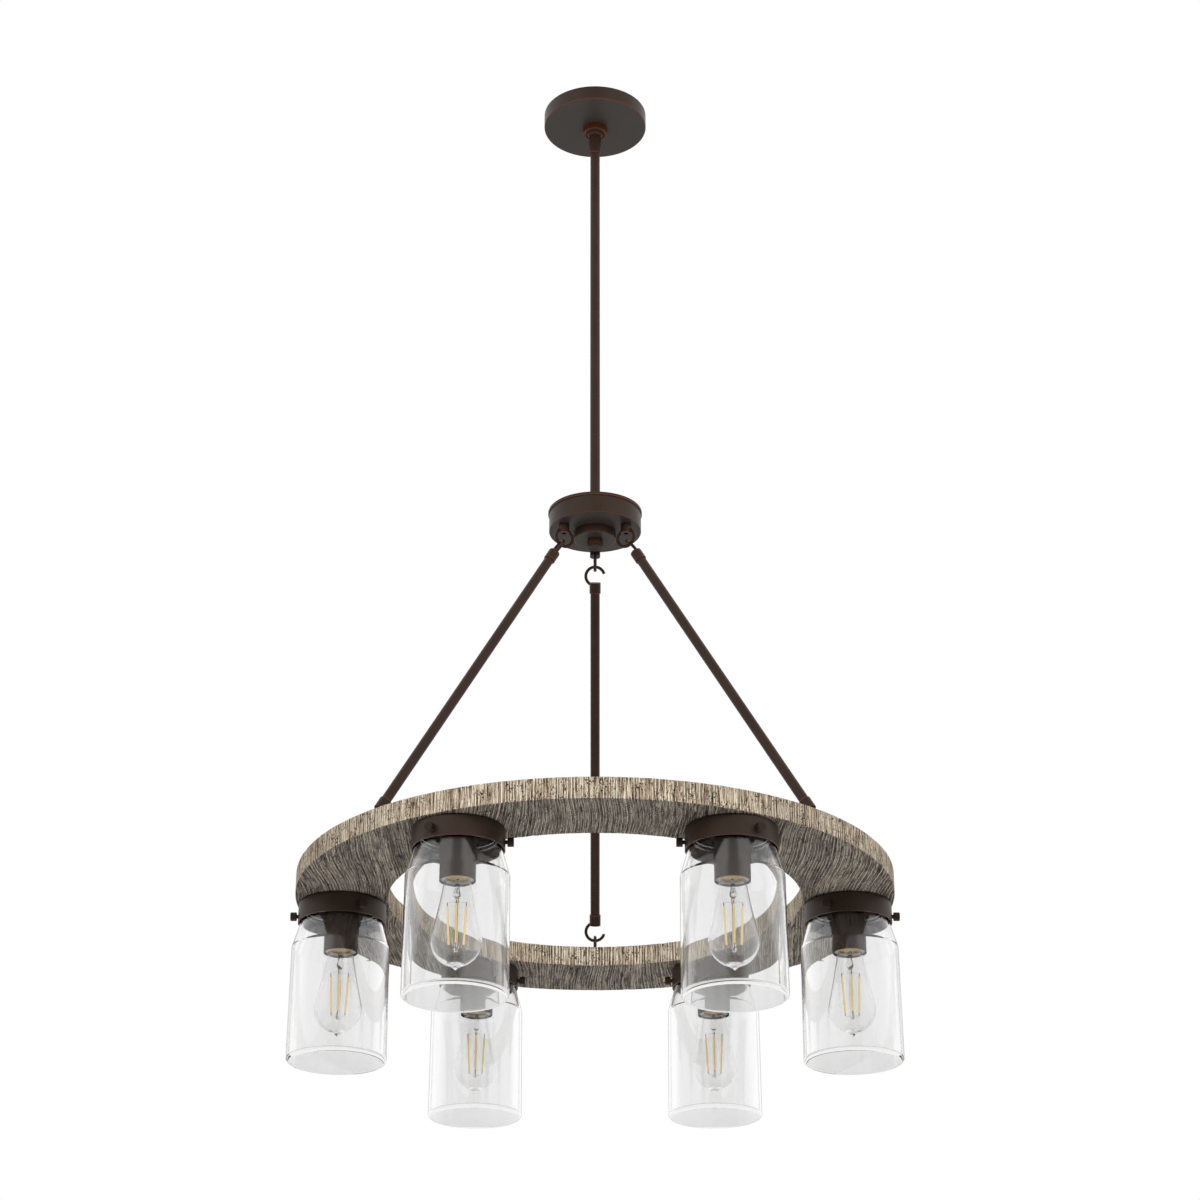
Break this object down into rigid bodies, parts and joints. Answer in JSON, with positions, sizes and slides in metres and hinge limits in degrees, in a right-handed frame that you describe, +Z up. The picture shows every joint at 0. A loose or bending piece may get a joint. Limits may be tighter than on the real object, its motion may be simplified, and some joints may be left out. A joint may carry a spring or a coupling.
{
  "type": "chandelier",
  "caption": "Ring chandelier with clear glass jar lights, hung by hooked rods from a round hub, a downrod and a ball swivel under a ceiling canopy.",
  "frame": {"origin": "centre of the crossbar's upper face, in the ceiling plane over the canopy", "axes": "+Z up along the downrod, +X along the crossbar, one hanging rod towards +Y"},
  "size_m": [0.724, 0.711, 1.3239],
  "materials": {
    "bronze": "satin dark bronze, copper at worn edges",
    "worn_copper": "bronze rubbed through to copper",
    "steel": "zinc plated",
    "brass": "plain",
    "timber": "weathered, open grain",
    "porcelain": "glazed",
    "jar_glass": "clear",
    "bulb_glass": "clear, with filaments"
  },
  "bodies": {
    "ceiling_mount": {"crossbar": "steel", "canopy_nipple": "steel", "canopy_nut": "steel", "canopy": "bronze", "swivel_cup": "worn_copper", "swivel_cap": "steel"},
    "seat": {"swivel_seat": "brass"},
    "stem": {"swivel_ball": "bronze", "downrod": "bronze", "downrod_nut": "steel", "hub_lid": "bronze", "hub_body": "bronze", "hub_stud": "steel", "hub_stud_nut": "steel", "hub_cover": "bronze", "hub_eyes": "bronze", "hub_eye_nuts": "steel"},
    "knob": {"hub_knob": "worn_copper"},
    "ring_frame": {"ring": "timber", "ring_eyes": "bronze", "side_thumbscrews": "bronze", "socket_insulators": "porcelain", "socket_shells": "brass", "fitter_1": "bronze", "fitter_2": "bronze", "fitter_3": "bronze", "fitter_4": "bronze", "fitter_5": "bronze", "fitter_6": "bronze", "socket_1": "bronze", "socket_2": "bronze", "socket_3": "bronze", "socket_4": "bronze", "socket_5": "bronze", "socket_6": "bronze", "jar_1": "jar_glass", "jar_2": "jar_glass", "jar_3": "jar_glass", "jar_4": "jar_glass", "jar_5": "jar_glass", "jar_6": "jar_glass"},
    "rear_rod": {"rod_rear": "bronze", "hooks_rear": "bronze"},
    "left_rod": {"rod_left": "bronze", "hooks_left": "bronze"},
    "right_rod": {"rod_right": "bronze", "hooks_right": "bronze"},
    "bulb_1_body": {"bulb_1": "bulb_glass"},
    "bulb_2_body": {"bulb_2": "bulb_glass"},
    "bulb_3_body": {"bulb_3": "bulb_glass"},
    "bulb_4_body": {"bulb_4": "bulb_glass"},
    "bulb_5_body": {"bulb_5": "bulb_glass"},
    "bulb_6_body": {"bulb_6": "bulb_glass"},
    "thumbscrew_1_body": {"thumbscrew_1": "bronze"},
    "thumbscrew_2_body": {"thumbscrew_2": "bronze"},
    "thumbscrew_3_body": {"thumbscrew_3": "bronze"},
    "thumbscrew_4_body": {"thumbscrew_4": "bronze"},
    "thumbscrew_5_body": {"thumbscrew_5": "bronze"},
    "thumbscrew_6_body": {"thumbscrew_6": "bronze"}
  },
  "joints": [
    {"name": "swivel_spin", "type": "hinge", "parent": "ceiling_mount", "child": "seat", "pos_m": [0, 0, -0.0235], "axis": [0, 0, 1], "range_deg": [-170, 170]},
    {"name": "swivel_tilt", "type": "hinge", "parent": "seat", "child": "stem", "pos_m": [0, 0, -0.0235], "axis": [1, 0, 0], "range_deg": [-20, 20]},
    {"name": "ring_twist", "type": "hinge", "parent": "stem", "child": "ring_frame", "pos_m": [0, 0, -1.08789], "axis": [0, 0, 1], "range_deg": [-6, 6]},
    {"name": "knob_unscrew", "type": "slide", "parent": "stem", "child": "knob", "axis": [0, 0, -1], "range_m": [0, 0.008]},
    {"name": "rod_swing_rear", "type": "hinge", "parent": "stem", "child": "rear_rod", "pos_m": [0, 0.05099, -0.66553], "axis": [0, 0.8607, 0.5092], "range_deg": [-3.8, 3.8]},
    {"name": "rod_swing_left", "type": "hinge", "parent": "stem", "child": "left_rod", "pos_m": [-0.04416, -0.0255, -0.66553], "axis": [-0.7454, -0.4303, 0.5092], "range_deg": [-3.8, 3.8]},
    {"name": "rod_swing_right", "type": "hinge", "parent": "stem", "child": "right_rod", "pos_m": [0.04416, -0.0255, -0.66553], "axis": [0.7454, -0.4303, 0.5092], "range_deg": [-3.8, 3.8]},
    {"name": "bulb_1_unscrew", "type": "slide", "parent": "ring_frame", "child": "bulb_1_body", "axis": [0, 0, -1], "range_m": [0, 0.02]},
    {"name": "bulb_2_unscrew", "type": "slide", "parent": "ring_frame", "child": "bulb_2_body", "axis": [0, 0, -1], "range_m": [0, 0.02]},
    {"name": "bulb_3_unscrew", "type": "slide", "parent": "ring_frame", "child": "bulb_3_body", "axis": [0, 0, -1], "range_m": [0, 0.02]},
    {"name": "bulb_4_unscrew", "type": "slide", "parent": "ring_frame", "child": "bulb_4_body", "axis": [0, 0, -1], "range_m": [0, 0.02]},
    {"name": "bulb_5_unscrew", "type": "slide", "parent": "ring_frame", "child": "bulb_5_body", "axis": [0, 0, -1], "range_m": [0, 0.02]},
    {"name": "bulb_6_unscrew", "type": "slide", "parent": "ring_frame", "child": "bulb_6_body", "axis": [0, 0, -1], "range_m": [0, 0.02]},
    {"name": "thumbscrew_1_back_out", "type": "slide", "parent": "ring_frame", "child": "thumbscrew_1_body", "axis": [1, 0, 0], "range_m": [0, 0.005]},
    {"name": "thumbscrew_2_back_out", "type": "slide", "parent": "ring_frame", "child": "thumbscrew_2_body", "axis": [0.5, 0.866, 0], "range_m": [0, 0.005]},
    {"name": "thumbscrew_3_back_out", "type": "slide", "parent": "ring_frame", "child": "thumbscrew_3_body", "axis": [-0.5, 0.866, 0], "range_m": [0, 0.005]},
    {"name": "thumbscrew_4_back_out", "type": "slide", "parent": "ring_frame", "child": "thumbscrew_4_body", "axis": [-1, 0, 0], "range_m": [0, 0.005]},
    {"name": "thumbscrew_5_back_out", "type": "slide", "parent": "ring_frame", "child": "thumbscrew_5_body", "axis": [-0.5, -0.866, 0], "range_m": [0, 0.005]},
    {"name": "thumbscrew_6_back_out", "type": "slide", "parent": "ring_frame", "child": "thumbscrew_6_body", "axis": [0.5, -0.866, 0], "range_m": [0, 0.005]}
  ],
  "couplings": [
    {"joint": "rod_swing_rear", "follows": "ring_twist", "ratio": 0.6156},
    {"joint": "rod_swing_left", "follows": "ring_twist", "ratio": 0.6156},
    {"joint": "rod_swing_right", "follows": "ring_twist", "ratio": 0.6156}
  ]
}
